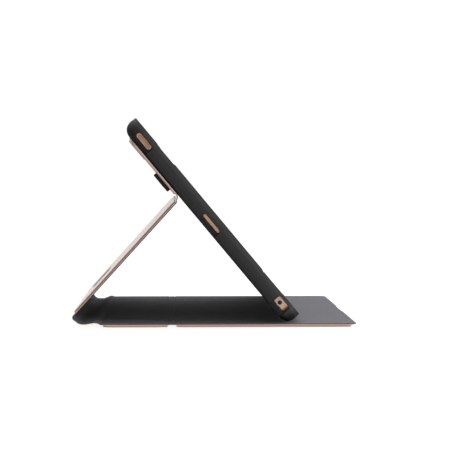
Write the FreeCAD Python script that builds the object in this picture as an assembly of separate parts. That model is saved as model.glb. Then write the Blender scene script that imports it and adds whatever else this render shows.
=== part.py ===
import FreeCAD, Part
import os
from math import sin, cos, radians, hypot

# Folio stand case for a 9.7 inch class tablet, shown folded open as a stand.
# Row frame, millimetres: X runs along the width, -Y towards the user, +Z up,
# origin in the middle of the footprint, on the surface the case stands on.
# Side profiles are written as (s, z) with s = -Y, seen from the -X side.
# Every panel is built flat in a local frame (p, u, w): p = -X across the
# width, u along the panel, w out of the panel, and is then tilted in place.

# ---------------------------------------------------------------- dimensions

# tablet bay (240 x 169.5 x 7.5 mm class tablet)
BAY_P = 240.5
BAY_U = 169.9
BAY_DEPTH = 7.7
BAY_R = 10.3
BAY_FILLET = 3.0

# tray
TRAY_ANGLE = -50.15       # slope of the screen plane
TRAY_TOP = (-52.8, 142.8) # upper end of the front face
TRAY_P = 249.0
TRAY_U0, TRAY_U1 = -1.2, 175.4
TRAY_T = 11.9
TRAY_R = 12.5
TRAY_BACK_R, TRAY_END_R = 3.5, 8.0   # back edge along the sides, and across the two ends
BEVEL_IN, BEVEL_END, BEVEL_H = 1.3, 0.3, 3.7
LIP_T = 1.6
LIP_OVER = 2.1
CARRIER_WALL = 1.1
LINING_T = 0.4
CARRIER_T = 0.9

# side openings: u of the centre, depth behind the front face, size
POWER_U, POWER_V, POWER_L, POWER_W = 15.3, 6.1, 13.8, 3.7
MIC_U, MIC_V, MIC_L, MIC_W = 87.9, 6.85, 16.2, 2.6
JACK_U, JACK_V, JACK_L, JACK_W = 161.0, 5.3, 10.4, 5.4
JACK_RING_U, JACK_RING_V, JACK_RING_R = 159.5, 5.45, 2.35
PORT_L, PORT_W = 15.0, 6.4
SPK_L, SPK_W, SPK_OFF = 26.0, 3.0, 50.0
VOL_P, VOL_L, VOL_W = 84.0, 25.0, 4.0
SCOOP_D = 2.2
CAM_P, CAM_U, CAM_R, CAM_RING_R = 107.5, 16.5, 6.2, 7.4
POWER_TRAVEL = 0.6

# fold axes (s, z)
COVER_FOLD = (-28.65, 2.85)
SPINE_FOLD = (-77.7, 2.2)
KICK_LOW = (-96.6, 8.3)
HEM_L, HEM_ANGLE = 3.0, 100.0
STRIP_L, STRIP_ANGLE = 3.0, 72.9
STRIP_U, STRIP_V = 59.0, 13.0    # upper crease, in the tray's own frame

# panels
PANEL_P = 250.0
KICK_P = 248.6
PANEL_R = 7.0
LINING_PANEL = 0.6
FLANGE_T = 0.4
COVER_T = 2.7
KICK_T = 2.3
UPPER_T = 1.8
SKIN_T = 0.5
NOTCH_L, NOTCH_D = 60.0, 0.7
FRONT_L = 126.6

BAND_U0, BAND_U1, BAND_T = 37.0, 52.0, 2.4
BADGE_U, BADGE_L, BADGE_P, BADGE_T = 24.0, 17.0, 46.0, 0.35

os.makedirs("parts", exist_ok=True)
V = FreeCAD.Vector
done = {}


def save(name, shape):
    done[name] = shape
    shape.exportStep("parts/" + name + ".step")
    print(name, "valid", shape.isValid(), "solids", len(shape.Solids), "vol", round(shape.Volume, 1))


def place(shape, origin, angle):
    """Tilts a flat (p, u, w) shape into the row frame."""
    a = radians(angle)
    m = FreeCAD.Matrix(-1, 0, 0, 0,
                       0, -cos(a), sin(a), -origin[0],
                       0, sin(a), cos(a), origin[1],
                       0, 0, 0, 1)
    out = shape.copy()
    out.Placement = FreeCAD.Placement(m)
    return out


def at_tray(shape):
    return place(shape, TRAY_TOP, TRAY_ANGLE)


def box(p0, p1, u0, u1, w0, w1):
    return Part.makeBox(p1 - p0, u1 - u0, w1 - w0, V(p0, u0, w0))


def rounded_wire(p0, p1, u0, u1, w, r):
    """Rounded rectangle; r is one radius or four (low-low, high-low, high-high, low-high)."""
    rs = [r] * 4 if not isinstance(r, (list, tuple)) else list(r)
    corners = [(p0, u0, 1, 1), (p1, u0, -1, 1), (p1, u1, -1, -1), (p0, u1, 1, -1)]
    dirs = [(0, -1), (1, 0), (0, 1), (-1, 0)]   # travel direction arriving at each corner
    pts = []
    for i, (cp, cu, sp, su) in enumerate(corners):
        r_i = rs[i]
        if r_i < 1e-6:
            pts.append([V(cp, cu, w)])
            continue
        centre = V(cp + sp * r_i, cu + su * r_i, w)
        if i in (0, 2):
            a = V(cp, cu + su * r_i, w)
            b = V(cp + sp * r_i, cu, w)
        else:
            a = V(cp + sp * r_i, cu, w)
            b = V(cp, cu + su * r_i, w)
        k = 0.70710678
        mid = V(centre.x - sp * r_i * k, centre.y - su * r_i * k, w)
        pts.append([a, mid, b])
    edges = []
    for i in range(4):
        if len(pts[i]) == 3:
            edges.append(Part.Arc(*pts[i]).toShape())
        a = pts[i][-1]
        b = pts[(i + 1) % 4][0]
        if (b - a).Length > 1e-6:
            edges.append(Part.LineSegment(a, b).toShape())
    return Part.Wire(edges)


def rounded_slab(p0, p1, u0, u1, w0, w1, r):
    face = Part.Face(rounded_wire(p0, p1, u0, u1, w0, r))
    return face.extrude(V(0, 0, w1 - w0))


def edges_at_w(shape, w, tol=1e-4):
    out = []
    for e in shape.Edges:
        if all(abs(v.Point.z - w) < tol for v in e.Vertexes) and abs(e.BoundBox.ZMax - w) < tol and abs(e.BoundBox.ZMin - w) < tol:
            out.append(e)
    return out


def strip(points, thick_low, thick_high, p0, p1):
    """Sheet that follows a side-profile spline through (s, z) points, offset to either side."""
    lo, hi = [], []
    n = len(points)
    for i, (s, z) in enumerate(points):
        a = points[max(i - 1, 0)]
        b = points[min(i + 1, n - 1)]
        ds, dz = b[0] - a[0], b[1] - a[1]
        length = hypot(ds, dz)
        ns, nz = dz / length, -ds / length      # towards the upper side for a strip running to -s
        lo.append(V(-p1, -(s + ns * thick_low), z + nz * thick_low))
        hi.append(V(-p1, -(s + ns * thick_high), z + nz * thick_high))
    c1 = Part.BSplineCurve()
    c1.interpolate(lo)
    c2 = Part.BSplineCurve()
    c2.interpolate(hi)
    wire = Part.Wire([c1.toShape(), Part.makeLine(lo[-1], hi[-1]), c2.toShape(), Part.makeLine(hi[0], lo[0])])
    return Part.Face(Part.Wire(Part.__sortEdges__(wire.Edges))).extrude(V(p1 - p0, 0, 0))


# ------------------------------------------------------------ derived places
a = radians(TRAY_ANGLE)
D = (cos(a), sin(a))
N = (-sin(a), cos(a))
UP_CREASE = (TRAY_TOP[0] + STRIP_U * D[0] - STRIP_V * N[0], TRAY_TOP[1] + STRIP_U * D[1] - STRIP_V * N[1])
LOW_CREASE = (UP_CREASE[0] - STRIP_L * cos(radians(STRIP_ANGLE)), UP_CREASE[1] - STRIP_L * sin(radians(STRIP_ANGLE)))
TIP = (KICK_LOW[0] - HEM_L * cos(radians(HEM_ANGLE)), KICK_LOW[1] - HEM_L * sin(radians(HEM_ANGLE)))
from math import atan2, degrees
KICK_ANGLE = degrees(atan2(LOW_CREASE[1] - KICK_LOW[1], LOW_CREASE[0] - KICK_LOW[0]))
KICK_L = hypot(LOW_CREASE[1] - KICK_LOW[1], LOW_CREASE[0] - KICK_LOW[0])
print("fold axes y,z: cover", -COVER_FOLD[0], COVER_FOLD[1], "spine", -SPINE_FOLD[0], SPINE_FOLD[1],
      "tip", round(-TIP[0], 3), round(TIP[1], 3), "kick_low", -KICK_LOW[0], KICK_LOW[1],
      "low_crease", round(-LOW_CREASE[0], 3), round(LOW_CREASE[1], 3),
      "up_crease", round(-UP_CREASE[0], 3), round(UP_CREASE[1], 3), "kick", round(KICK_ANGLE, 3), round(KICK_L, 2))

# ------------------------------------------------------------------- bumper
UC = 86.9
hp = TRAY_P / 2
floor_w = -(LIP_T + BAY_DEPTH)                    # bay floor (top of the lining)
carrier_w = floor_w - LINING_T                    # carrier floor, inner face
back_w = carrier_w - CARRIER_T                    # carrier floor, outer face

bevel = Part.makeLoft([
    rounded_wire(-hp + BEVEL_IN, hp - BEVEL_IN, TRAY_U0 + BEVEL_END, TRAY_U1 - BEVEL_END, 0, TRAY_R - BEVEL_IN),
    rounded_wire(-hp, hp, TRAY_U0, TRAY_U1, -BEVEL_H, TRAY_R)], True, True)
lower = rounded_slab(-hp, hp, TRAY_U0, TRAY_U1, -TRAY_T, -BEVEL_H, TRAY_R)
lower = lower.makeFillet(TRAY_BACK_R, edges_at_w(lower, -TRAY_T))
ends = box(-hp - 0.1, hp + 0.1, TRAY_U0, TRAY_U1, -TRAY_T, 1)
ends = ends.makeFillet(TRAY_END_R, [e for e in ends.Edges if abs(e.BoundBox.ZMax + TRAY_T) < 1e-6 and e.BoundBox.XLength > 2 * hp])
lower = lower.common(ends)
outer = bevel.fuse(lower).removeSplitter()
# soft front rim
try:
    rim = outer.makeFillet(0.5, edges_at_w(outer, 0.0))
    if rim.isValid():
        outer = rim
except Exception as err:
    print("rim fillet skipped", err)

cw = CARRIER_WALL
carrier_out = rounded_slab(-BAY_P / 2 - cw, BAY_P / 2 + cw, UC - BAY_U / 2 - cw, UC + BAY_U / 2 + cw, back_w, -LIP_T, BAY_R + cw)
carrier_out = carrier_out.makeFillet(BAY_FILLET + 1.0, edges_at_w(carrier_out, back_w))
bay = rounded_slab(-BAY_P / 2, BAY_P / 2, UC - BAY_U / 2, UC + BAY_U / 2, carrier_w, -LIP_T, BAY_R)
bay = bay.makeFillet(BAY_FILLET, edges_at_w(bay, carrier_w))
mouth = rounded_slab(-BAY_P / 2 + LIP_OVER, BAY_P / 2 - LIP_OVER, UC - BAY_U / 2 + LIP_OVER, UC + BAY_U / 2 - LIP_OVER, -LIP_T - 0.01, 1, BAY_R - 1.6)
bumper = outer.cut(carrier_out).cut(mouth)

# dips in the front lip of both short sides, beside the raised corners
for u0, u1 in ((22.0, 41.5), (133.5, 157.0)):
    dip = Part.Face(Part.makePolygon([V(-200, u0, 0.3), V(-200, u0, 0.0), V(-200, u0 + 2.5, -0.5), V(-200, u1 - 1.5, -0.5),
                                      V(-200, u1, 0.0), V(-200, u1, 0.3), V(-200, u0, 0.3)])).extrude(V(400, 0, 0))
    bumper = bumper.cut(dip)


def plain_box_hole(u, v, length, width, p0, p1, r):
    b = box(p0, p1, u - length / 2, u + length / 2, -v - width / 2, -v + width / 2)
    es = [e for e in b.Edges if abs(e.BoundBox.XLength - (p1 - p0)) < 1e-6]
    return b.makeFillet(r, es)


def scoop(u, v, length, width, side):
    """Finger recess from an opening to the tray's back edge, on the side given by the sign of p."""
    p_in, p_out = hp - SCOOP_D, hp + 3
    if side < 0:
        p_in, p_out = -p_out, -p_in
    b = box(p_in, p_out, u - length / 2, u + length / 2, -TRAY_T - 3, -v + width / 2)
    inner = -side
    es = []
    for e in b.Edges:
        if abs(e.BoundBox.XLength - (p_out - p_in)) < 1e-6 and abs(e.BoundBox.ZMax - (-v + width / 2)) < 1e-6:
            es.append(e)
    b = b.makeFillet(min(length, width) * 0.49 if width < 4.5 else 1.6, es)
    face_p = p_in if side > 0 else p_out
    ring = [e for e in b.Edges if abs(e.BoundBox.XMax - face_p) < 1e-6 and abs(e.BoundBox.XMin - face_p) < 1e-6 and e.BoundBox.ZMin > -TRAY_T - 2.9 or
            (abs(e.BoundBox.XMax - face_p) < 1e-6 and abs(e.BoundBox.XMin - face_p) < 1e-6 and e.BoundBox.ZLength > 2)]
    try:
        f = b.makeFillet(0.7, ring)
        if f.isValid():
            b = f
    except Exception as err:
        print("scoop fillet skipped", err)
    return b


near_in, near_out = BAY_P / 2 - 1, hp + 2
for (u, v, l, w_, extra) in ((POWER_U, POWER_V, POWER_L, POWER_W, 1.6), (MIC_U, MIC_V, MIC_L, MIC_W, 0.8)):
    bumper = bumper.cut(plain_box_hole(u, v, l, w_, near_in, near_out, w_ / 2 - 0.02))
    bumper = bumper.cut(scoop(u, v, l + extra, w_ + 0.8, 1))
bumper = bumper.cut(plain_box_hole(JACK_U, JACK_V, JACK_L, JACK_W, near_in, near_out, 1.2))
bumper = bumper.cut(scoop(JACK_U, JACK_V, JACK_L + 1.2, JACK_W + 0.8, 1))
far_in, far_out = -hp - 2, -BAY_P / 2 + 1
far_holes = [plain_box_hole(UC, 5.6, PORT_L, PORT_W, far_in, far_out, 2.4)]
for off in (-SPK_OFF, SPK_OFF):
    far_holes.append(plain_box_hole(UC + off, 6.0, SPK_L, SPK_W, far_in, far_out, SPK_W / 2 - 0.02))
for h in far_holes:
    bumper = bumper.cut(h)
bumper = bumper.cut(scoop(UC, 5.6, PORT_L + 1.6, PORT_W + 0.8, -1))

# volume opening through the upper long wall
vol = box(VOL_P - VOL_L / 2, VOL_P + VOL_L / 2, TRAY_U0 - 2, UC - BAY_U / 2 + 1, -6.1 - VOL_W / 2, -6.1 + VOL_W / 2)
vol = vol.makeFillet(VOL_W / 2 - 0.02, [e for e in vol.Edges if abs(e.BoundBox.YLength - (UC - BAY_U / 2 + 3 - TRAY_U0)) < 1e-6])
bumper = bumper.cut(vol)

cam_hole = Part.makeCylinder(CAM_RING_R, 8, V(CAM_P, CAM_U, floor_w + 0.5), V(0, 0, -1))
bumper = bumper.cut(cam_hole)
save("tray_bumper", at_tray(bumper))

# ------------------------------------------------------------ carrier shell
carrier = carrier_out.cut(bay)
for h in far_holes:
    carrier = carrier.cut(h)
carrier = carrier.cut(vol).cut(cam_hole)
# press cap window, microphone hole and jack hole in the near wall
carrier = carrier.cut(plain_box_hole(POWER_U, POWER_V, 11.2, 2.5, near_in, near_out, 1.23))
carrier = carrier.cut(Part.makeCylinder(0.6, 6, V(near_in - 1, MIC_U, -MIC_V), V(1, 0, 0)))
carrier = carrier.cut(Part.makeCylinder(JACK_RING_R, 6, V(near_in - 1, JACK_RING_U, -JACK_RING_V), V(1, 0, 0)))
# raised pill rim around the press cap, standing in the bumper's opening
rim = plain_box_hole(POWER_U, POWER_V, POWER_L - 0.3, POWER_W - 0.3, BAY_P / 2 + cw, BAY_P / 2 + cw + 1.2, (POWER_W - 0.3) / 2 - 0.02)
rim = rim.cut(plain_box_hole(POWER_U, POWER_V, 11.2, 2.5, BAY_P / 2, BAY_P / 2 + 5, 1.23))
carrier = carrier.fuse(rim)
save("carrier_shell", at_tray(carrier))

# press cap: runs in the carrier's window with 0.25 mm all round, its face set below the rim
cap = plain_box_hole(POWER_U, POWER_V, 10.7, 2.0, BAY_P / 2 + 0.7, BAY_P / 2 + cw + 0.75, 0.98)
face = [e for e in cap.Edges if abs(e.BoundBox.XMin - (BAY_P / 2 + cw + 0.75)) < 1e-6 and abs(e.BoundBox.XMax - (BAY_P / 2 + cw + 0.75)) < 1e-6]
cap = cap.makeFillet(0.25, face)
save("power_cap", at_tray(cap))

# jack eyelet
eye = Part.makeCylinder(JACK_RING_R, cw, V(BAY_P / 2, JACK_RING_U, -JACK_RING_V), V(1, 0, 0))
eye = eye.cut(Part.makeCylinder(JACK_RING_R - 0.8, cw + 3, V(BAY_P / 2 - 1, JACK_RING_U, -JACK_RING_V), V(1, 0, 0)))
save("jack_eyelet", at_tray(eye))

# soft plug that closes the eyelet's inner end
plug = Part.makeCylinder(JACK_RING_R - 0.8, 0.4, V(BAY_P / 2, JACK_RING_U, -JACK_RING_V), V(1, 0, 0))
save("jack_plug", at_tray(plug))

# lining on the bay floor
li = BAY_FILLET + 0.2
lin = rounded_slab(-BAY_P / 2 + li, BAY_P / 2 - li, UC - BAY_U / 2 + li, UC + BAY_U / 2 - li, carrier_w, floor_w, BAY_R - li)
lin = lin.cut(cam_hole)
save("tray_lining", at_tray(lin))

# grommet around the camera window, through tray and upper panel
ring = Part.makeCylinder(CAM_RING_R, UPPER_T + TRAY_T + floor_w, V(CAM_P, CAM_U, floor_w), V(0, 0, -1))
lip = Part.makeCylinder(CAM_RING_R + 0.9, 0.4, V(CAM_P, CAM_U, -TRAY_T - UPPER_T), V(0, 0, -1))
ring = ring.fuse(lip).cut(Part.makeCylinder(CAM_R, 12, V(CAM_P, CAM_U, floor_w + 1), V(0, 0, -1)))
save("camera_ring", at_tray(ring.removeSplitter()))

# corner cushions: L pads glued in the corners of the bay floor edge, inside the carrier's walls
pads = []
for sp in (-1, 1):
    for su in (-1, 1):
        pc, uc = sp * BAY_P / 2, UC + su * BAY_U / 2
        blk = rounded_slab(-BAY_P / 2, BAY_P / 2, UC - BAY_U / 2, UC + BAY_U / 2, -LIP_T - 1.0, -LIP_T, BAY_R)
        blk = blk.cut(rounded_slab(-BAY_P / 2 + 0.45, BAY_P / 2 - 0.45, UC - BAY_U / 2 + 0.45, UC + BAY_U / 2 - 0.45, -LIP_T - 1.1, -LIP_T + 0.1, BAY_R - 0.45))
        keep = box(min(pc, pc - sp * 22), max(pc, pc - sp * 22), min(uc, uc - su * 22), max(uc, uc - su * 22), -LIP_T - 1.2, -LIP_T)
        pads.append(blk.common(keep))
save("corner_pads", at_tray(Part.makeCompound([s for p in pads for s in p.Solids])))


# ------------------------------------------------------------- cover panels
def panel(p_half, u0, u1, w_out, w_in, plate_u0, plate_u1, side_in, radii, name, notch=0.0, extra_cut=None):
    """Formed skin with a flange and a raised plate, and the stiffener board that fills it.
    w_out is the outer face, w_in the face that the lining is glued to."""
    sgn = 1 if w_in > w_out else -1
    flange_w = w_in - sgn * FLANGE_T
    outline = rounded_slab(-p_half, p_half, u0, u1, min(flange_w, w_in), max(flange_w, w_in), radii)
    rr = [max(r - 2.0, 2.0) for r in radii]
    plate = rounded_slab(-p_half + side_in, p_half - side_in, plate_u0, plate_u1, min(w_out, flange_w), max(w_out, flange_w), rr)
    plate = plate.makeFillet(0.75, edges_at_w(plate, w_out))
    skin = outline.fuse(plate).removeSplitter()
    cav_out = w_out + sgn * SKIN_T
    m = SKIN_T + 0.3
    rc = [max(r - m, 1.2) for r in rr]
    cavity = rounded_slab(-p_half + side_in + m, p_half - side_in - m, plate_u0 + m, plate_u1 - m, min(cav_out, w_in), max(cav_out, w_in), rc)
    skin = skin.cut(cavity)
    board = cavity
    if notch:
        n = notch_cutter(u1)
        skin = skin.cut(n)
    if extra_cut is not None:
        skin = skin.cut(extra_cut)
        board = board.cut(extra_cut)
    return skin, board


def notch_cutter(u1):
    """Shallow thumb notch in the free edge."""
    a_ = V(-NOTCH_L / 2, u1, -1)
    b_ = V(0, u1 - NOTCH_D, -1)
    c_ = V(NOTCH_L / 2, u1, -1)
    arc = Part.Arc(a_, b_, c_).toShape()
    edges = [arc, Part.makeLine(c_, V(NOTCH_L / 2, u1 + 3, -1)), Part.makeLine(V(NOTCH_L / 2, u1 + 3, -1), V(-NOTCH_L / 2, u1 + 3, -1)),
             Part.makeLine(V(-NOTCH_L / 2, u1 + 3, -1), a_)]
    return Part.Face(Part.Wire(edges)).extrude(V(0, 0, 8))


pp = PANEL_P / 2
lin_w = COVER_T - LINING_PANEL
# front cover
O2 = (COVER_FOLD[0] + 0.2, 0.0)
skin, board = panel(pp, 0, FRONT_L, 0, lin_w, 2.55, FRONT_L - 3.15, 2.9, [0.01, 0.01, PANEL_R, PANEL_R], "front", notch=1)
magnets = []
for pc in (-88, -30, 30, 88):
    magnets.append(box(pc - 8, pc + 8, FRONT_L - 12, FRONT_L - 8, SKIN_T + 0.2, lin_w - 0.2))
mag = Part.makeCompound(magnets)
board = board.cut(mag)
save("front_cover_skin", place(skin, O2, 0))
save("front_cover_board", place(board, O2, 0))
save("wake_magnets", place(mag, O2, 0))
lining = rounded_slab(-pp, pp, 0, FRONT_L, lin_w, COVER_T, [0.01, 0.01, PANEL_R, PANEL_R]).cut(notch_cutter(FRONT_L))
save("front_cover_lining", place(lining, O2, 0))

# rear cover
O1 = (SPINE_FOLD[0] + 0.5, 0.0)
rear_l = COVER_FOLD[0] - 0.2 - O1[0]
skin, board = panel(pp, 0, rear_l, 0, lin_w, 0.8, rear_l - 2.55, 2.9, [0.01] * 4, "rear")
save("rear_cover_skin", place(skin, O1, 0))
save("rear_cover_board", place(board, O1, 0))
save("rear_cover_lining", place(rounded_slab(-pp, pp, 0, rear_l, lin_w, COVER_T, 0.01), O1, 0))

# spine: soft strip, bowed between the rear cover and the tip
spine_pts = [(-78.15, 2.15), (-79.4, 2.7), (-81.0, 3.05), (-83.2, 2.9), (-86.2, 2.35), (-89.3, 2.12), (-91.6, 2.45), (-93.4, 3.3), (-94.75, 4.35)]
save("spine_skin", strip(spine_pts, 0.0, 0.5, -pp, pp))
save("spine_lining", strip(spine_pts, 0.5, 1.1, -pp, pp))

# hem: the short crease strip between spine and kick panel
hem = box(-KICK_P / 2, KICK_P / 2, 0.75, HEM_L - 0.75, -0.5, 0.5)
save("hem_strip", place(hem, TIP, HEM_ANGLE))

# kick panel, outer face on +w
kh = KICK_P / 2
ku0, ku1 = 0.8, KICK_L - 0.8
k_in = -KICK_T / 2 + LINING_PANEL
skin, board = panel(kh, ku0, ku1, KICK_T / 2, k_in, ku0 + 1.2, ku1 - 0.9, 2.6, [0.01] * 4, "kick")
save("kick_skin", place(skin, KICK_LOW, KICK_ANGLE))
save("kick_board", place(board, KICK_LOW, KICK_ANGLE))
save("kick_lining", place(rounded_slab(-kh, kh, ku0, ku1, -KICK_T / 2, k_in, 0.01), KICK_LOW, KICK_ANGLE))
badge = rounded_slab(-BADGE_P / 2, BADGE_P / 2, BADGE_U - BADGE_L / 2, BADGE_U + BADGE_L / 2, KICK_T / 2, KICK_T / 2 + BADGE_T, 2.0)
save("blank_badge", place(badge, KICK_LOW, KICK_ANGLE))

# crease strip between kick panel and upper panel
st = box(-KICK_P / 2, KICK_P / 2, 0.75, STRIP_L - 0.75, -0.5, 0.5)
save("back_hinge_strip", place(st, LOW_CREASE, STRIP_ANGLE))

# upper panel, glued to the tray's back
uu0, uu1 = 6.8, STRIP_U - 0.8
ring_cut = Part.makeCylinder(CAM_RING_R, 8, V(CAM_P, CAM_U, floor_w + 0.5), V(0, 0, -1))
skin, board = panel(kh, uu0, uu1, -TRAY_T - UPPER_T, -TRAY_T, uu0 + 1.8, uu1 - 2.4, 2.6, [PANEL_R, PANEL_R, 0.01, 0.01], "upper", extra_cut=ring_cut)
tabs = Part.makeCompound([box(s * 112 - 6, s * 112 + 6, BAND_U0 + 1.5, BAND_U1 - 1.5, -TRAY_T - 1.2, -TRAY_T - 0.5) for s in (-1, 1)])
board = board.cut(tabs)
save("upper_skin", at_tray(skin))
save("upper_board", at_tray(board))
save("band_anchors", at_tray(tabs))

# closure band lying across the upper panel
bz = -TRAY_T - UPPER_T
band = box(-kh + 0.3, kh - 0.3, BAND_U0, BAND_U1, bz - BAND_T, bz)
band = band.makeFillet(0.8, edges_at_w(band, bz - BAND_T))
save("closure_band", at_tray(band))

allb = Part.makeCompound(list(done.values())).BoundBox
print("box", [round(v, 2) for v in (allb.XMin, allb.XMax, allb.YMin, allb.YMax, allb.ZMin, allb.ZMax)], len(done), "nodes")
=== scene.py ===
import math
import bpy
import bmesh
import numpy as np
from mathutils import Vector, Matrix


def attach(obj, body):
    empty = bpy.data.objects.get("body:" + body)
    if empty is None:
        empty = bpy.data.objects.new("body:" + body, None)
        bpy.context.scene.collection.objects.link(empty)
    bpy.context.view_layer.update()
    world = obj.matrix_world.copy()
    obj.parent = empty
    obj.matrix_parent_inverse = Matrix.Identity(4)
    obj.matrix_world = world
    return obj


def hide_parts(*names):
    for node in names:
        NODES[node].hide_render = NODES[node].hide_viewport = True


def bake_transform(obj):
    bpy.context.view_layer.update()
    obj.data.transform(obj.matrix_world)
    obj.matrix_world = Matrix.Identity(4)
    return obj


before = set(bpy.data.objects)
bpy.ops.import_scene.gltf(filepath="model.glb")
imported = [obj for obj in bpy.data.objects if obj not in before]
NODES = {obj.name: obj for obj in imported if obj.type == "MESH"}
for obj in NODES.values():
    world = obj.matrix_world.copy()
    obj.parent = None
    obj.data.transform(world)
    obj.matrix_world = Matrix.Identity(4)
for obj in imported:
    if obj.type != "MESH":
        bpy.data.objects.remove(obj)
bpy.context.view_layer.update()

MM = 0.001
rng = np.random.default_rng(11)

# --------------------------------------------------------------- local frames
TRAY_TOP, TRAY_ANGLE = (-52.8, 142.8), -50.15
KICK_LOW, KICK_ANGLE = (-96.6, 8.3), 47.795
TIP, HEM_ANGLE = (-96.079, 5.346), 100.0
LOW_CREASE, STRIP_ANGLE = (-25.857, 86.307), 72.9
UC = 86.9


def to_sz(origin, angle, u, w):
    a = math.radians(angle)
    return (origin[0] + u * math.cos(a) - w * math.sin(a), origin[1] + u * math.sin(a) + w * math.cos(a))


def frame_map(origin, angle):
    a = math.radians(angle)
    ca, sa = math.cos(a), math.sin(a)

    def f(p, u, w):
        return np.stack([-p, -ca * u + sa * w - origin[0], sa * u + ca * w + origin[1]], -1) * MM
    return f


FLAT = frame_map((0, 0), 0)
KICK = frame_map(KICK_LOW, KICK_ANGLE)
TRAY = frame_map(TRAY_TOP, TRAY_ANGLE)


def smooth(t):
    t = np.clip(t, 0, 1)
    return t * t * (3 - 2 * t)


def ripple(P, U, amp, seed, lo=14, hi=46, n=9):
    """Gentle unevenness of a hand-laid sheet."""
    r = np.random.default_rng(seed)
    out = np.zeros_like(P)
    for _ in range(n):
        wl = r.uniform(lo, hi)
        th = r.uniform(0, math.tau)
        out += np.sin((P * math.cos(th) + U * math.sin(th)) * math.tau / wl + r.uniform(0, math.tau))
    return amp * out / n


# ----------------------------------------------------------------- sheet mesh
def lines(a, b, coarse, feats):
    """Grid lines from a to b: a coarse spacing plus finer lines round each feature."""
    xs = list(np.linspace(a, b, max(2, int(abs(b - a) / coarse) + 1)))
    for pos, offs in feats:
        xs += [pos + o for o in offs]
    xs = np.unique(np.round([x for x in xs if a - 1e-6 <= x <= b + 1e-6], 4))
    keep = [xs[0]]
    for x in xs[1:]:
        if x - keep[-1] > 0.018:
            keep.append(x)
    keep[-1] = b
    return np.array(keep)


RIM = [0, 0.03, 0.08, 0.16, 0.28, 0.45, 0.7, 1.0, 1.4]
SHOULDER = [-0.3, -0.12, -0.02, 0.02, 0.07, 0.15, 0.27, 0.42, 0.6, 0.8, 1.05, 1.4]


def both(offs):
    return [-o for o in offs]


def rr_in(P, U, p0, p1, u0, u1, r_lo, r_hi):
    """Distance inwards from a rounded rectangle, with its own radius at the low and at the high end."""
    pc, uc, hp, hu = (p0 + p1) / 2, (u0 + u1) / 2, (p1 - p0) / 2, (u1 - u0) / 2
    r = np.where(U > uc, r_hi, r_lo)
    qx, qy = np.abs(P - pc) - (hp - r), np.abs(U - uc) - (hu - r)
    out = np.hypot(np.maximum(qx, 0), np.maximum(qy, 0)) + np.minimum(np.maximum(qx, qy), 0)
    return r - out


def bead(d, r):
    """Share of height lost beside a rounded edge, at distance d from it."""
    t = np.clip(1 - d / r, 0, 1)
    return 1 - np.sqrt(1 - t * t * 0.999)


def slab(name, P, U, top, bot, place, uv=(0, 0), hole=None, mats=None):
    """Closed thin solid over a grid. top and bot are heights above the panel's own plane."""
    ni, nj = P.shape
    Pm, Um = P.copy(), U.copy()
    inside = np.zeros(P.shape, bool)
    if hole:
        d = np.hypot(P - hole[0], U - hole[1])
        inside = d < hole[2]
    keep = []
    for i in range(ni - 1):
        for j in range(nj - 1):
            if not (inside[i, j] and inside[i + 1, j] and inside[i, j + 1] and inside[i + 1, j + 1]):
                keep.append((i, j))
    if hole:
        m = inside & (d > 1e-6)
        Pm[m] = hole[0] + (P[m] - hole[0]) * hole[2] / d[m]
        Um[m] = hole[1] + (U[m] - hole[1]) * hole[2] / d[m]
    n = ni * nj
    T = place(Pm, Um, top).reshape(-1, 3)
    B = place(Pm, Um, bot).reshape(-1, 3)
    faces = []
    used = {}
    for i, j in keep:
        a, b, c, e = i * nj + j, (i + 1) * nj + j, (i + 1) * nj + j + 1, i * nj + j + 1
        faces.append((a, b, c, e))
        faces.append((a + n, e + n, c + n, b + n))
        for x, y in ((a, b), (b, c), (c, e), (e, a)):
            k = (min(x, y), max(x, y))
            used[k] = None if k in used else (x, y)
    for v in used.values():
        if v:
            x, y = v
            faces.append((y, x, x + n, y + n))
    me = bpy.data.meshes.new(name)
    me.from_pydata(np.concatenate([T, B]).tolist(), [], faces)
    layer = me.uv_layers.new(name="flat")
    uvs = np.concatenate([np.stack([Pm + uv[0], Um + uv[1]], -1).reshape(-1, 2)] * 2) * MM
    idx = np.zeros(len(me.loops), int)
    me.loops.foreach_get("vertex_index", idx)
    layer.data.foreach_set("uv", uvs[idx].astype(np.float32).ravel())
    bm = bmesh.new()
    bm.from_mesh(me)
    loose = [v for v in bm.verts if not v.link_faces]
    bmesh.ops.delete(bm, geom=loose, context="VERTS")
    bmesh.ops.recalc_face_normals(bm, faces=bm.faces)
    bm.to_mesh(me)
    bm.free()
    me.polygons.foreach_set("use_smooth", [True] * len(me.polygons))
    me.set_sharp_from_angle(angle=math.radians(52))
    ob = bpy.data.objects.new(name, me)
    bpy.context.scene.collection.objects.link(ob)
    return ob


def grid(ps, us, half=None, notch=None):
    P, U = np.meshgrid(ps, us, indexing="ij")
    if half is not None:
        P = P * half(U) / ps[-1]
    if notch is not None:
        U = U - notch(P, U)
    return P, U


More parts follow.
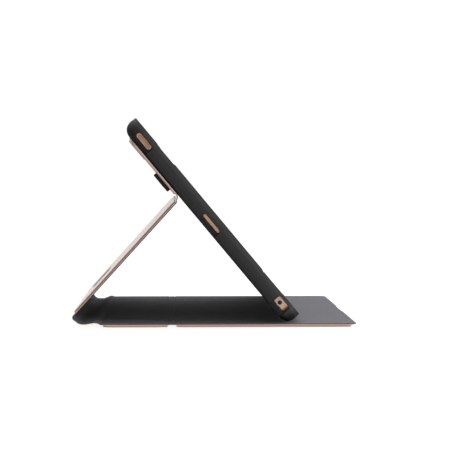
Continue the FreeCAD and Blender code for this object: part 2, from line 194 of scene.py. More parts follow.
# ------------------------------------------------------------------ materials
class Nodes:
    def __init__(self, name):
        self.m = bpy.data.materials.new(name)
        self.m.use_nodes = True
        self.t = self.m.node_tree
        self.b = self.t.nodes["Principled BSDF"]
        self.out = self.t.nodes["Material Output"]

    def new(self, kind, **props):
        nd = self.t.nodes.new(kind)
        for k, v in props.items():
            setattr(nd, k, v)
        return nd

    def link(self, a, b):
        self.t.links.new(a, b)

    def co(self, kind="Object", scale=(1, 1, 1), rot=0.0):
        tc = self.new("ShaderNodeTexCoord")
        mp = self.new("ShaderNodeMapping")
        mp.inputs["Scale"].default_value = scale
        mp.inputs["Rotation"].default_value = (0, 0, rot)
        self.link(tc.outputs[kind], mp.inputs["Vector"])
        return mp.outputs["Vector"]

    def noise(self, vec, scale, detail=3, rough=0.55, dist=0.0):
        nd = self.new("ShaderNodeTexNoise")
        nd.inputs["Scale"].default_value = scale
        nd.inputs["Detail"].default_value = detail
        nd.inputs["Roughness"].default_value = rough
        nd.inputs["Distortion"].default_value = dist
        self.link(vec, nd.inputs["Vector"])
        return nd.outputs["Fac"]

    def voronoi(self, vec, scale, feature="DISTANCE_TO_EDGE", rnd=1.0):
        nd = self.new("ShaderNodeTexVoronoi", feature=feature)
        nd.inputs["Scale"].default_value = scale
        nd.inputs["Randomness"].default_value = rnd
        self.link(vec, nd.inputs["Vector"])
        return nd.outputs["Distance"]

    def wave(self, vec, scale, direction="X", dist=0.0, dscale=1.0):
        nd = self.new("ShaderNodeTexWave", wave_type="BANDS", bands_direction=direction, wave_profile="SIN")
        nd.inputs["Scale"].default_value = scale
        nd.inputs["Distortion"].default_value = dist
        nd.inputs["Detail Scale"].default_value = dscale
        self.link(vec, nd.inputs["Vector"])
        return nd.outputs["Fac"]

    def ramp(self, fac, stops):
        nd = self.new("ShaderNodeValToRGB")
        e = nd.color_ramp.elements
        while len(e) < len(stops):
            e.new(0.5)
        for k, (pos, col) in zip(e, stops):
            k.position = pos
            k.color = (*col, 1) if hasattr(col, "__len__") else (col, col, col, 1)
        self.link(fac, nd.inputs["Fac"])
        return nd.outputs["Color"]

    def range(self, fac, a, b, lo=0.0, hi=1.0):
        nd = self.new("ShaderNodeMapRange")
        nd.inputs["From Min"].default_value = lo
        nd.inputs["From Max"].default_value = hi
        nd.inputs["To Min"].default_value = a
        nd.inputs["To Max"].default_value = b
        self.link(fac, nd.inputs["Value"])
        return nd.outputs["Result"]

    def math(self, op, a, b):
        nd = self.new("ShaderNodeMath", operation=op)
        for s, v in zip(nd.inputs, (a, b)):
            if isinstance(v, (int, float)):
                s.default_value = v
            else:
                self.link(v, s)
        return nd.outputs["Value"]

    def mix(self, fac, a, b, kind="MIX"):
        nd = self.new("ShaderNodeMix", data_type="RGBA", blend_type=kind)
        for s, v in ((nd.inputs[0], fac), (nd.inputs[6], a), (nd.inputs[7], b)):
            if isinstance(v, (int, float)):
                s.default_value = v
            elif isinstance(v, tuple):
                s.default_value = (*v, 1)
            else:
                self.link(v, s)
        return nd.outputs[2]

    def edge(self, lo=0.52, hi=0.62):
        g = self.new("ShaderNodeNewGeometry")
        return self.range(g.outputs["Pointiness"], 0, 1, lo, hi)

    def side(self):
        """1 on faces that look along the width, 0 on the others."""
        g, sx = self.new("ShaderNodeNewGeometry"), self.new("ShaderNodeSeparateXYZ")
        self.link(g.outputs["True Normal"], sx.inputs[0])
        return self.range(self.math("ABSOLUTE", sx.outputs["X"], 0.0), 0, 1, 0.45, 0.80)

    def beyond(self, x):
        """1 further than x metres from the middle of the width."""
        sx = self.new("ShaderNodeSeparateXYZ")
        self.link(self.co("Object"), sx.inputs[0])
        return self.range(self.math("ABSOLUTE", sx.outputs["X"], 0.0), 0, 1, x - 0.0002, x + 0.0002)

    def bump(self, heights):
        """heights: list of (value, strength, distance)."""
        prev = None
        for h, st, dist in heights:
            nd = self.new("ShaderNodeBump")
            nd.inputs["Strength"].default_value = st
            nd.inputs["Distance"].default_value = dist
            self.link(h, nd.inputs["Height"])
            if prev is not None:
                self.link(prev, nd.inputs["Normal"])
            prev = nd.outputs["Normal"]
        self.link(prev, self.b.inputs["Normal"])

    def set(self, **kw):
        for k, v in kw.items():
            s = self.b.inputs[k.replace("_", " ")]
            if isinstance(v, (int, float)):
                s.default_value = v
            elif isinstance(v, tuple):
                s.default_value = (*v, 1) if len(v) == 3 else v
            else:
                self.link(v, s)
        return self.m


def mat_rubber():
    n = Nodes("moulded_tpu")
    v = n.co("Object")
    fine = n.noise(v, 2600, 2, 0.6)
    broad = n.noise(v, 38, 4, 0.6)
    smear = n.noise(v, 190, 3, 0.65, 0.6)
    dot = n.new("ShaderNodeVectorMath", operation="DOT_PRODUCT")
    n.link(v, dot.inputs[0])
    dot.inputs[1].default_value = (0.0, -0.767725, 0.640780)
    depth = n.range(n.math("ADD", dot.outputs["Value"], -0.050967), 0, 1, -0.0119, 0.0)      # 0 at the back, 1 at the rim
    # painted light and shade: the colour runs from near black at the back (painted shade) to lighter grey at the rim
    # (painted highlight on the bevel), with more specular towards the rim
    painted_rim_light = n.ramp(depth, [(0.05, (0.0030, 0.0029, 0.0028)), (0.55, (0.0105, 0.0102, 0.0098)), (0.70, (0.0170, 0.0166, 0.0160)), (0.78, (0.034, 0.0335, 0.0325))])
    base = n.mix(n.range(broad, 0, 0.22, 0.3, 0.7), painted_rim_light, (0.0175, 0.0170, 0.0165))
    base = n.mix(n.range(n.edge(0.515, 0.60), 0, 0.35), base, (0.042, 0.041, 0.040))
    n.bump([(fine, 0.22, 0.00006), (smear, 0.06, 0.0002)])
    rough = n.range(smear, 0.44, 0.60, 0.3, 0.7)
    return n.set(Base_Color=base, Roughness=rough, Specular_IOR_Level=n.range(depth, 0.12, 0.45, 0.1, 0.8))


def mat_carrier(name, tint=1.0):
    n = Nodes(name)
    v = n.co("Object", (1, 60, 60))
    brush = n.noise(v, 40, 3, 0.7)
    blotch = n.noise(n.co("Object"), 130, 3)
    a, b = (0.60 * tint, 0.352 * tint, 0.238 * tint), (0.66 * tint, 0.395 * tint, 0.272 * tint)
    base = n.ramp(brush, [(0.3, a), (0.75, b)])
    base = n.mix(n.range(blotch, 0, 0.25, 0.45, 0.8), base, (0.5 * tint, 0.27 * tint, 0.18 * tint))
    n.bump([(brush, 0.04, 0.00002), (n.noise(n.co("Object"), 4200, 2), 0.04, 0.00001)])
    return n.set(Base_Color=base, Metallic=0.80, Roughness=n.range(brush, 0.38, 0.46), Specular_IOR_Level=0.5)


def mat_steel():
    n = Nodes("turned_steel")
    v = n.co("Object", (30, 1, 1))
    f = n.noise(v, 260, 3)
    n.bump([(f, 0.15, 0.00002)])
    return n.set(Base_Color=n.ramp(f, [(0.3, 0.36), (0.7, 0.48)]), Metallic=1.0, Roughness=n.range(f, 0.22, 0.36))


def mat_lining(name="napped_microfibre", coord="UV", gain=1.0):
    n = Nodes(name)
    v = n.co(coord)
    fib = n.noise(n.co(coord, (1, 0.45, 1), 0.5), 3400, 3, 0.65, 0.4)
    fib2 = n.noise(n.co(coord, (0.4, 1, 1), -0.35), 2700, 3, 0.65, 0.4)
    pile = n.math("MULTIPLY", fib, fib2)
    clump = n.noise(v, 620, 4, 0.6, 0.3)
    brushed = n.noise(n.co(coord, (1, 0.35, 1)), 26, 3, 0.55, 0.8)
    d, m, l = [tuple(c * gain for c in k) for k in ((0.140, 0.136, 0.150), (0.172, 0.168, 0.184), (0.212, 0.207, 0.226))]
    base = n.ramp(clump, [(0.32, d), (0.52, m), (0.74, l)])
    base = n.mix(n.range(brushed, 0, 0.42, 0.40, 0.72), base, tuple(c * 0.82 * gain for c in (0.172, 0.168, 0.184)))
    base = n.mix(n.range(pile, 0, 0.35, 0.15, 0.45), base, l)
    base = n.mix(n.side(), base, (0.020, 0.020, 0.022))
    n.bump([(pile, 0.55, 0.00018), (clump, 0.25, 0.00012), (brushed, 0.05, 0.0006)])
    return n.set(Base_Color=base, Roughness=n.range(clump, 0.86, 0.97), Specular_IOR_Level=0.10,
                 Sheen_Weight=0.06, Sheen_Roughness=0.6)


def mat_skin():
    n = Nodes("rose_coated_cloth")
    v = n.co("UV")
    pebble = n.voronoi(v, 1450, "DISTANCE_TO_EDGE", 0.9)
    pebble = n.range(pebble, 0, 1, 0.0, 0.35)
    fine = n.noise(v, 5200, 2, 0.6)
    cloud = n.noise(v, 34, 4, 0.6, 0.5)
    worn = n.noise(v, 210, 4, 0.7)
    a, b = (0.475, 0.318, 0.276), (0.560, 0.392, 0.346)
    base = n.ramp(cloud, [(0.32, a), (0.70, b)])
    base = n.mix(n.range(pebble, 0.22, 0, 0, 1), base, (0.40, 0.25, 0.21))
    base = n.mix(n.math("MULTIPLY", n.range(n.edge(0.51, 0.60), 0, 0.5), n.range(worn, 0, 1, 0.35, 0.65)), base, (0.66, 0.50, 0.44))
    # painted shade: faces that look along the width, the side walls of the raised plates, get a darker, redder colour
    # for their shade; the cut edges at the ends of the width get the skin's paler cut-edge colour
    base = n.mix(n.side(), base, n.mix(n.beyond(0.1238), (0.47, 0.275, 0.215), (0.60, 0.48, 0.43)))
    n.bump([(pebble, 0.20, 0.00005), (fine, 0.12, 0.00002), (cloud, 0.03, 0.0004)])
    return n.set(Base_Color=base, Roughness=n.range(worn, 0.32, 0.44, 0.3, 0.7), Metallic=0.30, Specular_IOR_Level=0.5,
                 Coat_Weight=0.6, Coat_Roughness=0.22)


def mat_elastic():
    n = Nodes("woven_elastic")
    rib = n.wave(n.co("UV"), 520, "Y", 0.0)
    pick = n.wave(n.co("UV"), 700, "X", 0.6, 3.0)
    w = n.math("MULTIPLY", rib, pick)
    fuzz = n.noise(n.co("UV"), 4200, 3, 0.6)
    base = n.ramp(w, [(0.1, (0.006, 0.006, 0.006)), (0.75, (0.022, 0.021, 0.021))])
    base = n.mix(n.range(fuzz, 0, 0.25, 0.5, 0.8), base, (0.040, 0.039, 0.038))
    n.bump([(w, 0.6, 0.00018), (fuzz, 0.25, 0.00005)])
    return n.set(Base_Color=base, Roughness=n.range(fuzz, 0.74, 0.9), Specular_IOR_Level=0.22, Sheen_Weight=0.04)


def mat_board():
    n = Nodes("grey_board")
    v = n.co("Object")
    f = n.noise(v, 900, 4, 0.7)
    fl = n.noise(n.co("Object", (1, 0.3, 1)), 2600, 3)
    base = n.mix(n.range(fl, 0, 0.4, 0.5, 0.7), n.ramp(f, [(0.3, (0.23, 0.22, 0.2)), (0.7, (0.31, 0.30, 0.28))]), (0.16, 0.155, 0.145))
    n.bump([(f, 0.3, 0.0001)])
    return n.set(Base_Color=base, Roughness=n.range(f, 0.82, 0.95))


def mat_foam():
    n = Nodes("closed_cell_foam")
    v = n.co("Object")
    c = n.voronoi(v, 2600, "F1")
    f = n.noise(v, 700, 3)
    base = n.mix(n.range(f, 0, 0.5), n.ramp(c, [(0.1, (0.02, 0.02, 0.02)), (0.6, (0.05, 0.05, 0.05))]), (0.032, 0.032, 0.033))
    n.bump([(c, 0.5, 0.0001)])
    return n.set(Base_Color=base, Roughness=n.range(f, 0.85, 0.95))


def mat_magnet():
    n = Nodes("nickel_plate")
    f = n.noise(n.co("Object"), 500, 3)
    n.bump([(f, 0.1, 0.00003)])
    return n.set(Base_Color=n.ramp(f, [(0.3, 0.5), (0.7, 0.64)]), Metallic=1.0, Roughness=n.range(f, 0.25, 0.4))


def mat_badge():
    n = Nodes("dark_plate")
    f = n.noise(n.co("Object", (1, 30, 30)), 60, 3)
    n.bump([(f, 0.12, 0.00003), (n.noise(n.co("Object"), 3000, 2), 0.1, 0.00002)])
    base = n.mix(n.range(n.edge(0.51, 0.6), 0, 0.5), n.ramp(f, [(0.3, (0.020, 0.019, 0.019)), (0.7, (0.034, 0.032, 0.031))]), (0.16, 0.14, 0.13))
    return n.set(Base_Color=base, Metallic=0.5, Roughness=n.range(f, 0.30, 0.42))


def mat_cloth():
    n = Nodes("woven_tape")
    a = n.wave(n.co("Object"), 900, "X")
    b = n.wave(n.co("Object"), 900, "Y")
    w = n.math("MULTIPLY", a, b)
    n.bump([(w, 0.5, 0.0001)])
    f = n.noise(n.co("Object"), 2400, 3)
    return n.set(Base_Color=n.mix(n.range(f, 0, 0.3), n.ramp(w, [(0.1, 0.012), (0.8, 0.03)]), (0.05, 0.05, 0.05)), Roughness=n.range(f, 0.8, 0.95))


RUBBER, CARRIER, CAP, STEEL = mat_rubber(), mat_carrier("rose_anodised"), mat_carrier("rose_anodised_cap", 0.78), mat_steel()
LINING, SKIN, ELASTIC, BOARD = mat_lining(), mat_skin(), mat_elastic(), mat_board()
BAY_LINING = mat_lining("bay_microfibre", "Object", 0.55)
FOAM, MAGNET, BADGE, CLOTH = mat_foam(), mat_magnet(), mat_badge(), mat_cloth()


def paint(ob, mat):
    ob.data.materials.clear()
    ob.data.materials.append(mat)
    return ob


for node, mat in (("tray_bumper", RUBBER), ("carrier_shell", CARRIER), ("power_cap", CAP), ("jack_eyelet", STEEL), ("jack_plug", RUBBER),
                  ("camera_ring", RUBBER), ("blank_badge", BADGE), ("upper_board", BOARD), ("kick_board", BOARD),
                  ("rear_cover_board", BOARD), ("front_cover_board", BOARD), ("wake_magnets", MAGNET)):
    ob = NODES[node]
    if len(ob.material_slots):
        for s in ob.material_slots:
            s.material = mat
    else:
        ob.data.materials.append(mat)

# ---------------------------------------------------------------- cover sheet
S0, S1 = -77.2, 98.15
FOLD = -28.65
R_CORNER = 7.0


def cover_half(s):
    d = np.clip(S1 - s, 0, R_CORNER)
    return 125.0 - (R_CORNER - np.sqrt(np.maximum(R_CORNER ** 2 - (R_CORNER - d) ** 2, 0)))


def thumb(P, U):
    return 0.7 * np.clip(1 - (P / 30) ** 2, 0, 1) * smooth((U - (S1 - 9)) / 9)


ps = lines(-125, 125, 5.0, [(125, both(RIM)), (-125, RIM), (122.1, both(SHOULDER)), (-122.1, SHOULDER),
                            (0, np.arange(-34, 35, 3)),
                            (122.1, both(np.arange(0, 8.5, 0.5))), (-122.1, np.arange(0, 8.5, 0.5))])
arc = list(R_CORNER * (1 - np.cos(np.linspace(0, math.pi / 2, 22))))
us = lines(S0, S1, 5.0, [(S0, RIM), (S1, both(RIM)), (S1, both(arc)), (-76.4, SHOULDER), (-31.4, both(SHOULDER)),
                         (-25.9, SHOULDER), (95.0, both(SHOULDER)), (-76.4, np.arange(0, 2.4, 0.25)),
                         (-31.4, both(np.arange(0, 2.4, 0.25))), (-25.9, np.arange(0, 2.4, 0.25)),
                         (95.0, both(np.arange(0, 7, 0.4))), (FOLD, np.arange(-4, 4.1, 0.2))])
P, U = grid(ps, us, cover_half, thumb)
US = np.broadcast_to(us, P.shape)
edge = np.minimum(125.0 - np.abs(np.broadcast_to(ps[:, None], P.shape)), S1 - US)      # distance in from the three free edges


def plates(P, U):
    d1 = rr_in(P, U, -122.1, 122.1, -76.4, -31.4, 5.0, 3.5)
    d2 = rr_in(P, U, -122.1, 122.1, -25.9, 95.0, 3.5, 4.0)
    return np.maximum(d1, d2)


d = plates(P, US)
rise = np.where(d > 0, 1 - bead(d, 0.5), 0)
bot = 1.7 - 1.7 * rise + 0.06 * bead(edge, 0.2)
top = np.full(P.shape, 2.1) - 0.02 * bead(edge, 0.12)
# the skin is drawn up a little into the fold gutter
gut = np.exp(-((US + FOLD * -1) / 1.7) ** 2)
bot = np.where(d <= 0, bot + 0.10 * gut, bot)
skin = slab("cover_outer_skin", P, U, top, bot, FLAT)
paint(skin, SKIN)
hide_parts("rear_cover_skin", "front_cover_skin")
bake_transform(skin)

groove = 0.30 * np.exp(-((US + 31.0) / 0.42) ** 2) + 0.30 * np.exp(-((US + 26.35) / 0.42) ** 2)
groove += 0.10 * smooth((US + 31.2) / 0.8) * smooth((-26.1 - US) / 0.8)
ridge = 0.06 * np.exp(-((US + 32.0) / 0.5) ** 2) + 0.06 * np.exp(-((US + 25.4) / 0.5) ** 2)
press = 0.14 * (1 - smooth(edge / 2.9))
ltop = 2.7 - groove + ridge - press - 0.30 * bead(edge, 0.32) + ripple(P, US, 0.05, 3) * smooth(edge / 4)
lbot = np.full(P.shape, 2.1) + 0.10 * bead(edge, 0.15)
lin = slab("cover_lining", P, U, np.minimum(ltop, 2.78), lbot, FLAT)
paint(lin, LINING)
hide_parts("rear_cover_lining", "front_cover_lining")
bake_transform(lin)


# --------------------------------------------------- strips that cross a fold
def spline(points, step=0.12):
    """Natural cubic through the points, sampled evenly: arc length, place and right-hand normal."""
    pts = np.array(points, float)
    t = np.concatenate([[0], np.cumsum(np.hypot(*np.diff(pts, axis=0).T))])
    n = len(t)
    h = np.diff(t)
    A = np.zeros((n, n))
    rhs = np.zeros((n, 2))
    A[0, 0] = A[-1, -1] = 1
    for i in range(1, n - 1):
        A[i, i - 1], A[i, i], A[i, i + 1] = h[i - 1], 2 * (h[i - 1] + h[i]), h[i]
        rhs[i] = 6 * ((pts[i + 1] - pts[i]) / h[i] - (pts[i] - pts[i - 1]) / h[i - 1])
    M = np.linalg.solve(A, rhs)
    tt = np.linspace(0, t[-1], max(40, int(t[-1] / step)))
    k = np.clip(np.searchsorted(t, tt) - 1, 0, n - 2)
    x = (tt - t[k])[:, None]
    hk = h[k][:, None]
    y = (M[k] * (hk - x) ** 3 + M[k + 1] * x ** 3) / (6 * hk) + (pts[k] / hk - M[k] * hk / 6) * (hk - x) + (pts[k + 1] / hk - M[k + 1] * hk / 6) * x
    a = np.concatenate([[0], np.cumsum(np.hypot(*np.diff(y, axis=0).T))])
    d = np.gradient(y, axis=0)
    d /= np.linalg.norm(d, axis=1)[:, None]
    return a, y, np.stack([d[:, 1], -d[:, 0]], 1)


def path_map(path, sag=None):
    a, y, nr = path

    def f(p, u, w):
        s = np.interp(u, a, y[:, 0]) + w * np.interp(u, a, nr[:, 0])
        z = np.interp(u, a, y[:, 1]) + w * np.interp(u, a, nr[:, 1])
        if sag is not None:
            z = z - sag(p, u)
        return np.stack([-p, -s, z], -1) * MM
    return f


def arc_at(path, point):
    return float(path[0][np.argmin(np.hypot(path[1][:, 0] - point[0], path[1][:, 1] - point[1]))])


spine = [(-78.15, 2.15), (-79.4, 2.7), (-81.0, 3.05), (-83.2, 2.9), (-86.2, 2.35), (-89.3, 2.12), (-91.6, 2.45), (-93.4, 3.3), (-94.75, 4.35)]
mid = []
for i, (s, z) in enumerate(spine):
    a_, b_ = spine[max(i - 1, 0)], spine[min(i + 1, len(spine) - 1)]
    ds, dz = b_[0] - a_[0], b_[1] - a_[1]
    L = math.hypot(ds, dz)
    mid.append((s + 0.5 * dz / L, z - 0.5 * ds / L))
tip_path = spline([(-75.6, 2.1), (-76.4, 2.1), (-77.15, 2.17)] + mid + [to_sz(TIP, HEM_ANGLE, 0.9, -0.05), to_sz(TIP, HEM_ANGLE, 2.1, -0.05),
                  to_sz(KICK_LOW, KICK_ANGLE, 0.9, -0.53), to_sz(KICK_LOW, KICK_ANGLE, 1.6, -0.55), to_sz(KICK_LOW, KICK_ANGLE, 2.4, -0.55)])
A0 = arc_at(tip_path, (-77.15, 2.17))
A1 = arc_at(tip_path, (-87.0, 2.8))
A2 = arc_at(tip_path, to_sz(TIP, HEM_ANGLE, 1.5, -0.05))
A3 = arc_at(tip_path, to_sz(KICK_LOW, KICK_ANGLE, 2.0, -0.55))
A_TIP = arc_at(tip_path, TIP)
UV_TIP = S0 - 0.0


def sag(p, u):
    """The loose spine lies lower towards the far side, where it rests on the surface."""
    z = np.interp(u, tip_path[0], tip_path[1][:, 1]) - 0.55
    win = smooth((u - A0 + 0.3) / 9.0) * smooth((A_TIP - 1.0 - u) / 6.5)
    return z * win * smooth((70 - p) / 190)


TIP_MAP = path_map(tip_path, sag)


def strip_piece(name, a0, a1, w0, w1, place, half0, half1, mat, seed=1, rim=0.22, uv0=0.0, dense=()):
    ps = lines(-125, 125, 5.0, [(125, both(RIM)), (-125, RIM)])
    us = lines(a0, a1, 0.5, [(x, np.arange(-1.6, 1.61, 0.14)) for x in dense])
    P, U = np.meshgrid(ps, us, indexing="ij")
    side = 125.0 - np.abs(P)
    P = P * (half0 + (half1 - half0) * smooth((U - a0) / max(a1 - a0, 1e-6))) / 125.0
    outer, inner = min(w0, w1), max(w0, w1)
    t = np.full(P.shape, inner) - rim * bead(side, 0.3) * (1 if w1 > 0.3 else 0.3) + ripple(P, U, 0.03, seed, 9, 30) * smooth(side / 3)
    b = np.full(P.shape, outer) + rim * bead(side, 0.3) * (0.3 if w1 > 0.3 else 0.7)
    ob = slab(name, P, U, t, b, place, (0, uv0))
    return paint(ob, mat)


def tip_strip(name, a0, a1, h0, h1, dense, skin_nodes, lining_nodes):
    for kind, w0, w1, mat, slot, nodes in (("skin", -0.5, 0.0, SKIN, "skin_rose", skin_nodes), ("lining", 0.0, 0.6, LINING, "micro_lining", lining_nodes)):
        ob = strip_piece(f"{name}_{kind}", a0, a1, w0, w1, TIP_MAP, h0, h1, mat, seed=5, uv0=-400, dense=dense)
        if nodes:
            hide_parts(*nodes)
        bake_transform(ob)


tip_strip("spine_near_cover", A0 - 0.25, A1, 125.0, 125.0,
          (arc_at(tip_path, (-77.7, 2.4)),), ["spine_skin"], ["spine_lining"])
tip_strip("spine_near_tip", A1, A2, 125.0, 124.6, (A_TIP,), ["hem_strip"], [])
tip_strip("kick_foot_fold", A2, A3, 124.6, 124.3,
          (arc_at(tip_path, KICK_LOW),), [], [])

# ----------------------------------------------------------------- kick panel
KH = 124.3
K0, K1 = 2.0, 105.0
ps = lines(-KH, KH, 5.0, [(KH, both(RIM)), (-KH, RIM), (KH - 2.6, both(SHOULDER)), (-KH + 2.6, SHOULDER),
                          (KH - 2.6, both(np.arange(0, 3, 0.3))), (-KH + 2.6, np.arange(0, 3, 0.3))])
us = lines(K0, K1, 4.0, [(K0, np.arange(0, 3.2, 0.12)), (K1, RIM), (104.5, SHOULDER), (104.5, np.arange(0, 3, 0.3))])
P, U = np.meshgrid(ps, us, indexing="ij")
side = KH - np.abs(P)
d = rr_in(P, U, -KH + 2.6, KH - 2.6, 2.05, 104.5, 2.4, 2.4)
rise = np.where(d > 0, 1 - bead(d, 0.8), 0)
top = -0.15 + 1.30 * rise - 0.1 * bead(side, 0.2)
bot = np.full(P.shape, -0.55) + 0.02 * bead(side, 0.1)
ob = slab("kick_outer_skin", P, U, top, bot, KICK, (0, -600))
paint(ob, SKIN)
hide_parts("kick_skin")
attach(ob, "kick_panel")
bot = -1.15 + 0.30 * bead(side, 0.3) + 0.05 * (1 - smooth(side / 2.6)) + ripple(P, U, 0.03, 8) * smooth(side / 4)
ob = slab("kick_lining_sheet", P, U, np.full(P.shape, -0.55) - 0.02 * bead(side, 0.1), bot, KICK, (0, -600))
paint(ob, LINING)
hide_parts("kick_lining")
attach(ob, "kick_panel")

# ---------------------------------------------------------------- back crease
back = spline([to_sz(KICK_LOW, KICK_ANGLE, u, -0.55) for u in (103.0, 103.7, 104.4, 104.9)]
              + [to_sz(LOW_CREASE, STRIP_ANGLE, u, -0.15) for u in (0.75, 1.6, 2.4)]
              + [to_sz(TRAY_TOP, TRAY_ANGLE, u, w) for u, w in ((58.75, -12.85), (58.1, -12.6), (57.2, -12.52), (56.0, -12.5))], 0.1)
B0 = arc_at(back, to_sz(KICK_LOW, KICK_ANGLE, 104.8, -0.55))
B1 = arc_at(back, to_sz(LOW_CREASE, STRIP_ANGLE, 1.6, -0.15))
B2 = arc_at(back, to_sz(TRAY_TOP, TRAY_ANGLE, 56.0, -12.5))
BACK_MAP = path_map(back)
BL, BU = arc_at(back, LOW_CREASE), arc_at(back, to_sz(TRAY_TOP, TRAY_ANGLE, 59.0, -13.0))
for tag, a0, a1, pair, start, end, dense, nodes in (
        ("low", B0, B1, ("kick_panel", "back_hinge"), to_sz(KICK_LOW, KICK_ANGLE, 104.9, -0.5), to_sz(LOW_CREASE, STRIP_ANGLE, 1.1, -0.1), (BL,), ["back_hinge_strip"]),
        ("high", B1, B2, ("back_hinge", "tray"), to_sz(LOW_CREASE, STRIP_ANGLE, 1.9, -0.1), to_sz(TRAY_TOP, TRAY_ANGLE, 58.2, -12.65), (BU,), [])):
    for kind, w0, w1, mat, slot in (("skin", -0.42, 0.0, SKIN, "skin_rose"), ("lining", 0.0, 0.40, LINING, "micro_lining")):
        ob = strip_piece(f"back_fold_{tag}_{kind}", a0, a1, w0, w1, BACK_MAP, 124.3, 124.3, mat, seed=9, uv0=-900, dense=dense)
        if nodes and kind == "skin":
            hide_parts(*nodes)
        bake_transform(ob)

# ---------------------------------------------------------------- upper panel
U0, U1 = 6.8, 58.2
CAM = (107.5, 16.5, 7.45)


def upper_half(u):
    dd = np.clip(u - U0, 0, 8.0)
    return KH - (8.0 - np.sqrt(np.maximum(64.0 - (8.0 - dd) ** 2, 0)))


ps = lines(-KH, KH, 5.0, [(KH, both(RIM)), (-KH, RIM), (KH - 0.9, both(SHOULDER)), (-KH + 0.9, SHOULDER), (CAM[0], np.arange(-10.5, 10.6, 0.7)),
                          (KH - 2.6, both(np.arange(0, 8, 0.4))), (-KH + 2.6, np.arange(0, 8, 0.4))])
arc = list(8.0 * (1 - np.cos(np.linspace(0, math.pi / 2, 22))))
us = lines(U0, U1, 4.0, [(U0, RIM), (U0, arc), (8.0, SHOULDER), (8.0, np.arange(0, 7.6, 0.4)), (56.4, both(SHOULDER)), (56.4, both(np.arange(0, 3, 0.3))),
                         (CAM[1], np.arange(-10.5, 10.6, 0.7)), (37, both([0, .2, .5])), (52, [0, .2, .5])])
P, U = grid(ps, us, upper_half)
edge = np.minimum(KH - np.abs(np.broadcast_to(ps[:, None], P.shape)), U - U0)
d = rr_in(P, U, -KH + 0.9, KH - 0.9, 8.0, 56.4, 7.0, 2.4)
rise = np.where(d > 0, 1 - bead(d, 0.5), 0)
out = -12.5 - 1.2 * rise + 0.1 * bead(edge, 0.2)
out = out + 0.10 * (smooth((U - 36.8) / 0.6) * smooth((52.2 - U) / 0.6)) * rise      # pressed in a little under the band
ob = slab("upper_outer_skin", P, U, np.full(P.shape, -11.92), out, TRAY, (0, -1100), hole=CAM)
paint(ob, SKIN)
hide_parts("upper_skin")
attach(ob, "tray")

# --------------------------------------------------------------- closure band
BH = 123.9
ps = lines(-BH, BH, 3.0, [(BH, both([0, .05, .15, .3, .5, .8, 1.2])), (-BH, [0, .05, .15, .3, .5, .8, 1.2])])
us = lines(37.05, 51.95, 0.16, [(37.05, [0, .04, .1, .2, .35, .5]), (51.95, both([0, .04, .1, .2, .35, .5]))])
P, U = np.meshgrid(ps, us, indexing="ij")
e1 = np.minimum(U - 37.05, 51.95 - U)
e2 = BH - np.abs(P)
ribs = 0.075 * (0.5 + 0.5 * np.cos((U - 44.5) * math.tau / 1.25)) * smooth(e1 / 0.8)
crown = 0.10 * (1 - ((U - 44.5) / 7.45) ** 2)
wob = 0.05 * np.sin(P * 0.055 + 1) * np.sin(P * 0.021)
outer = -15.85 - crown - ribs + 0.62 * bead(e1, 0.55) + 0.5 * bead(e2, 0.45) - 0.02
inner = np.full(P.shape, -13.64) - 0.25 * bead(e1, 0.4) - 0.1 * bead(e2, 0.3)
ob = slab("closure_band_woven", P, U + wob, inner, outer, TRAY, (0, -1300))
paint(ob, ELASTIC)
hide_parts("closure_band")
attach(ob, "tray")
tabs = []
for s in (-1, 1):
    ps = lines(s * 112 - 5.9, s * 112 + 5.9, 1.0, [])
    us = lines(38.6, 50.4, 1.0, [])
    P, U = np.meshgrid(ps, us, indexing="ij")
    e = np.minimum(5.9 - np.abs(P - s * 112), np.minimum(U - 38.6, 50.4 - U))
    t = slab("tab", P, U, np.full(P.shape, -12.42) - 0.1 * bead(e, 1.0), np.full(P.shape, -13.08) + 0.1 * bead(e, 1.0), TRAY)
    tabs.append(t)
me = tabs[0].data
bm = bmesh.new()
for t in tabs:
    bm.from_mesh(t.data)
bm.to_mesh(me)
bm.free()
bpy.data.objects.remove(tabs[1])
tabs[0].name = "band_anchor_tabs"
paint(tabs[0], CLOTH)
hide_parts("band_anchors")
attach(tabs[0], "tray")


# ------------------------------------------------------ lining of the tray bay
def rounded_outline(hp, u0, u1, r, n=14):
    pts = []
    for cp, cu, a0 in ((hp - r, u1 - r, 0), (-hp + r, u1 - r, 90), (-hp + r, u0 + r, 180), (hp - r, u0 + r, 270)):
        for k in range(n + 1):
            a = math.radians(a0 + 90 * k / n)
            pts.append((cp + r * math.cos(a), cu + r * math.sin(a)))
    return pts


cu = bpy.data.curves.new("bay", "CURVE")
cu.dimensions = "2D"
cu.fill_mode = "BOTH"
cu.extrude = 0.12
cu.bevel_depth = 0.07
cu.bevel_resolution = 3
for loop in (rounded_outline(116.9, UC - 81.6, UC + 81.6, 7.0), [(107.5 + 7.55 * math.cos(t), 16.5 + 7.55 * math.sin(t)) for t in np.linspace(0, math.tau, 64, endpoint=False)]):
    sp = cu.splines.new("POLY")
    sp.points.add(len(loop) - 1)
    for q, (x, y) in zip(sp.points, loop):
        q.co = (x, y, 0, 1)
    sp.use_cyclic_u = True
tmp = bpy.data.objects.new("bay_tmp", cu)
bpy.context.scene.collection.objects.link(tmp)
bpy.context.view_layer.update()
me = bpy.data.meshes.new_from_object(tmp.evaluated_get(bpy.context.evaluated_depsgraph_get()))
bpy.data.objects.remove(tmp)
co = np.zeros(len(me.vertices) * 3)
me.vertices.foreach_get("co", co)
co = co.reshape(-1, 3)
me.vertices.foreach_set("co", TRAY(co[:, 0], co[:, 1], co[:, 2] - 9.49).astype(np.float32).ravel())
bm = bmesh.new()
bm.from_mesh(me)
bmesh.ops.recalc_face_normals(bm, faces=bm.faces)
bm.to_mesh(me)
bm.free()
bay = bpy.data.objects.new("bay_lining_sheet", me)
bpy.context.scene.collection.objects.link(bay)
paint(bay, BAY_LINING)
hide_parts("tray_lining")
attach(bay, "tray")

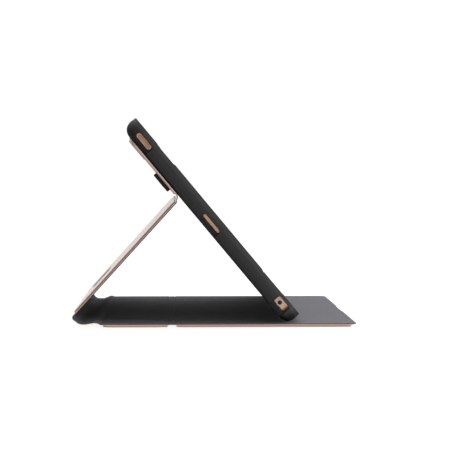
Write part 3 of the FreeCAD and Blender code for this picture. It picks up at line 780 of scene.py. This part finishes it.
# --------------------------------------------------------------- corner pads
bm = bmesh.new()
for sp_ in (-1, 1):
    for su in (-1, 1):
        r, hp_, hu_ = 10.3, 120.25, 84.95
        line = []
        for k in np.linspace(0, 1, 8):
            line.append((hp_, hu_ - r - 11.2 * (1 - k), 1, 0))
        for a in np.linspace(0, math.pi / 2, 16)[1:-1]:
            line.append((hp_ - r + r * math.cos(a), hu_ - r + r * math.sin(a), math.cos(a), math.sin(a)))
        for k in np.linspace(0, 1, 8):
            line.append((hp_ - r - 11.2 * k, hu_, 0, 1))
        rings = []
        for i, (x, y, nx, ny) in enumerate(line):
            e = min(i, len(line) - 1 - i)
            f = min(1.0, 0.45 + 0.28 * e)
            ring = []
            for a in np.linspace(0, math.tau, 16, endpoint=False):
                ca, sa = math.cos(a), math.sin(a)
                off = 0.215 * math.copysign(abs(ca) ** 0.55, ca) * (0.7 + 0.3 * f)
                h = 0.46 * math.copysign(abs(sa) ** 0.55, sa) * f
                q = TRAY(np.array(sp_ * (x + nx * (off - 0.235))), np.array(UC + su * (y + ny * (off - 0.235))), np.array(-2.1 + h))
                ring.append(bm.verts.new(q.tolist()))
            rings.append(ring)
        for r0, r1 in zip(rings, rings[1:]):
            for k in range(16):
                bm.faces.new((r0[k], r0[(k + 1) % 16], r1[(k + 1) % 16], r1[k]))
        bm.faces.new(rings[0])
        bm.faces.new(rings[-1])
bmesh.ops.recalc_face_normals(bm, faces=bm.faces)
me = bpy.data.meshes.new("corner_pads_soft")
bm.to_mesh(me)
bm.free()
me.polygons.foreach_set("use_smooth", [True] * len(me.polygons))
pads = bpy.data.objects.new("corner_pads_soft", me)
bpy.context.scene.collection.objects.link(pads)
paint(pads, FOAM)
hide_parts("corner_pads")
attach(pads, "tray")

# ------------------------------------------------------------- floor and light
bpy.ops.mesh.primitive_plane_add(size=14, location=(0, 0, -0.0002))
floor = bpy.context.object
floor.name = "floor"
n = Nodes("pale_floor")
f = n.noise(n.co("Object"), 2.5, 3)
n.set(Base_Color=n.ramp(f, [(0.3, (0.35, 0.35, 0.35)), (0.7, (0.37, 0.37, 0.37))]), Roughness=0.9, Specular_IOR_Level=0.1,
      Emission_Color=(1, 1, 1), Emission_Strength=0.80)
floor.data.materials.append(n.m)

world = bpy.data.worlds.new("studio")
bpy.context.scene.world = world
world.use_nodes = True
wt = world.node_tree
bg = wt.nodes["Background"]
tc = wt.nodes.new("ShaderNodeTexCoord")
sx = wt.nodes.new("ShaderNodeSeparateXYZ")
mr = wt.nodes.new("ShaderNodeMapRange")
mr.interpolation_type = "SMOOTHSTEP"
mr.inputs["From Min"].default_value = -0.55
mr.inputs["From Max"].default_value = 0.35
mr.inputs["To Min"].default_value = 0.32
mr.inputs["To Max"].default_value = 1.02
wt.links.new(tc.outputs["Generated"], sx.inputs[0])
wt.links.new(sx.outputs["X"], mr.inputs["Value"])
wt.links.new(mr.outputs["Result"], bg.inputs["Strength"])
bg.inputs["Color"].default_value = (1, 1, 1, 1)


def area(name, loc, target, size, power, color=(1, 1, 1)):
    li = bpy.data.lights.new(name, "AREA")
    li.shape = "RECTANGLE"
    li.size, li.size_y = size
    li.energy = power
    li.color = color
    ob = bpy.data.objects.new(name, li)
    bpy.context.scene.collection.objects.link(ob)
    ob.location = loc
    ob.rotation_mode = "QUATERNION"
    ob.rotation_quaternion = (Vector(target) - Vector(loc)).to_track_quat("-Z", "Y")
    return ob


area("soft_top", (0.0, -0.35, 1.5), (0, -0.03, 0.05), (1.0, 1.4), 4)
area("soft_user", (-0.2, -1.5, 0.75), (0, 0, 0.06), (1.2, 0.9), 10)

cam = bpy.data.cameras.new("cam")
cam.sensor_width = 36
cam.lens = 134.7
cam.clip_start, cam.clip_end = 0.05, 60
co_ = bpy.data.objects.new("cam", cam)
bpy.context.scene.collection.objects.link(co_)
co_.location = (-1.277, 0.0273, 0.1097)
co_.rotation_mode = "QUATERNION"
co_.rotation_quaternion = Vector((1.152, -0.0355, -0.0402)).to_track_quat("-Z", "Y")
bpy.context.scene.camera = co_

sc = bpy.context.scene
sc.view_settings.view_transform = "Standard"
sc.view_settings.look = "None"
sc.view_settings.exposure = 0
sc.view_settings.gamma = 1
